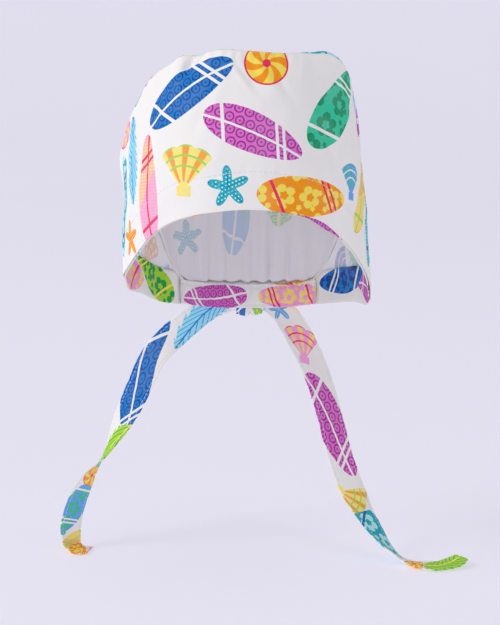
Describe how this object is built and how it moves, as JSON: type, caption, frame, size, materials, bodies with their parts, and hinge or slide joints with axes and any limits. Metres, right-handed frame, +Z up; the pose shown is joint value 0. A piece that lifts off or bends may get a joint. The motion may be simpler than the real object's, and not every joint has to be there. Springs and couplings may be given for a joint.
{
  "type": "surgical scrub cap",
  "caption": "Tie-back surgical scrub cap of printed cotton in its worn shape, with a front band, puffed top, nape casing and knotted flat ties.",
  "frame": {"origin": "middle of the head opening, level with the middle of the front hem, where the cap sits on a head", "axes": "+Z up through the crown, -Y towards the front, +X to the right of someone who looks at the front"},
  "size_m": [0.2865, 0.2075, 0.354],
  "materials": {
    "print_cotton": "matt plain-weave cotton with a bright summer print on white",
    "facing_cotton": "the same cotton turned in at the hem",
    "tie_cotton": "the same cotton folded and edge-stitched into flat ties"
  },
  "bodies": {
    "root": {"crown_band": "print_cotton", "crown_top": "print_cotton", "hem_facing": "facing_cotton", "back_binding": "print_cotton", "tie_knot": "tie_cotton", "tie_left": "tie_cotton", "tie_right": "tie_cotton"}
  },
  "joints": []
}
